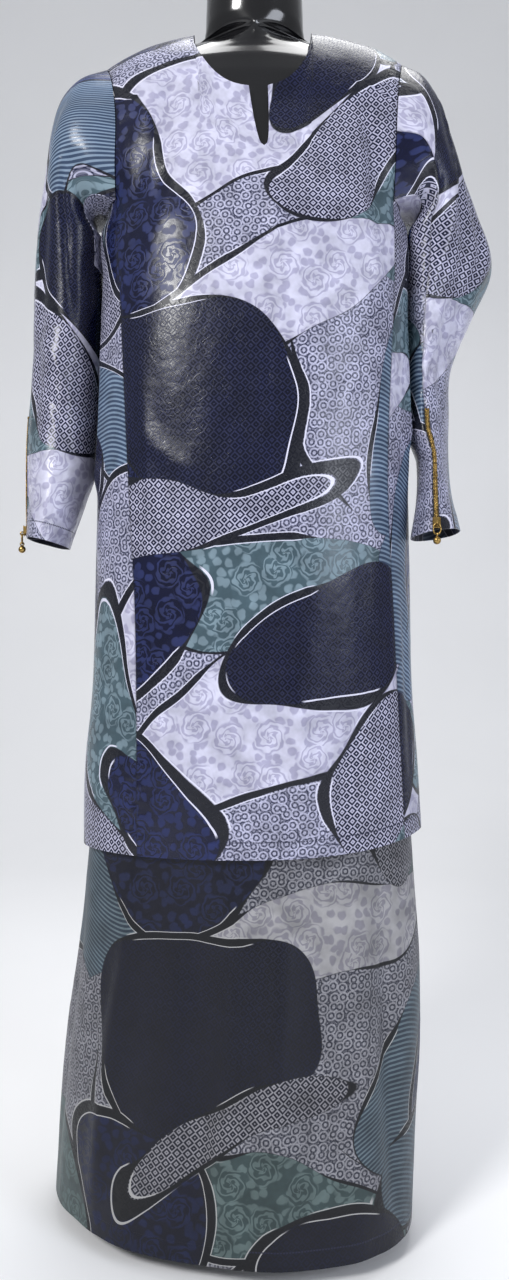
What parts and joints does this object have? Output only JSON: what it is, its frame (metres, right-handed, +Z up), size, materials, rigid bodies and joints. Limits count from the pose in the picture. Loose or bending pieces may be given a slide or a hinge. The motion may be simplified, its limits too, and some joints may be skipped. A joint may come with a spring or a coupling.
{
  "type": "baju kurung on dress form",
  "caption": "Long tunic and ankle-length skirt filled out by a limbless dress form; sleeves hang free with zipped cuffs.",
  "frame": {"origin": "on the floor, under the middle of the whole set's box", "axes": "+Z up along the form's pole, -Y out of the garment's front, +X to the viewer's right"},
  "size_m": [0.5326, 0.291, 1.37],
  "materials": {
    "tunic_satin": "printed satin jacquard, glossy",
    "skirt_satin": "printed satin, soft sheen",
    "zip_tape": "woven tape",
    "antique_brass": "antiqued, half polished",
    "form_gloss": "high gloss lacquer",
    "form_steel": "satin black paint"
  },
  "bodies": {
    "root": {"front_panel": "tunic_satin", "back_panel": "tunic_satin", "gore_front_left": "tunic_satin", "gore_front_right": "tunic_satin", "gore_back_left": "tunic_satin", "gore_back_right": "tunic_satin", "sleeve_left": "tunic_satin", "sleeve_right": "tunic_satin", "gusset_left": "tunic_satin", "gusset_right": "tunic_satin", "skirt_front": "skirt_satin", "skirt_back": "skirt_satin", "waistband": "skirt_satin", "zip_left": "zip_tape", "zip_right": "zip_tape", "slider_left": "antique_brass", "slider_right": "antique_brass", "form_torso": "form_gloss", "form_pole": "form_steel", "form_base": "form_steel"},
    "ring_left": {"pull_ring_left": "antique_brass"},
    "drop_left": {"ball_drop_left": "antique_brass"},
    "ring_right": {"pull_ring_right": "antique_brass"},
    "drop_right": {"ball_drop_right": "antique_brass"}
  },
  "joints": [
    {"name": "ring_left_swing", "type": "hinge", "parent": "root", "child": "ring_left", "pos_m": [-0.26252, -0.01507, 0.75385], "axis": [0.1134, -0.9935, 0], "range_deg": [-100, 0]},
    {"name": "drop_left_swing", "type": "hinge", "parent": "ring_left", "child": "drop_left", "pos_m": [-0.26252, -0.01507, 0.74225], "axis": [0.1134, -0.9935, 0], "range_deg": [-60, 20]},
    {"name": "ring_right_swing", "type": "hinge", "parent": "root", "child": "ring_right", "pos_m": [0.18023, -0.10574, 0.7546], "axis": [0.9967, -0.0816, 0], "range_deg": [-100, 0]},
    {"name": "drop_right_swing", "type": "hinge", "parent": "ring_right", "child": "drop_right", "pos_m": [0.18023, -0.10574, 0.743], "axis": [0.9967, -0.0816, 0], "range_deg": [-60, 20]}
  ]
}
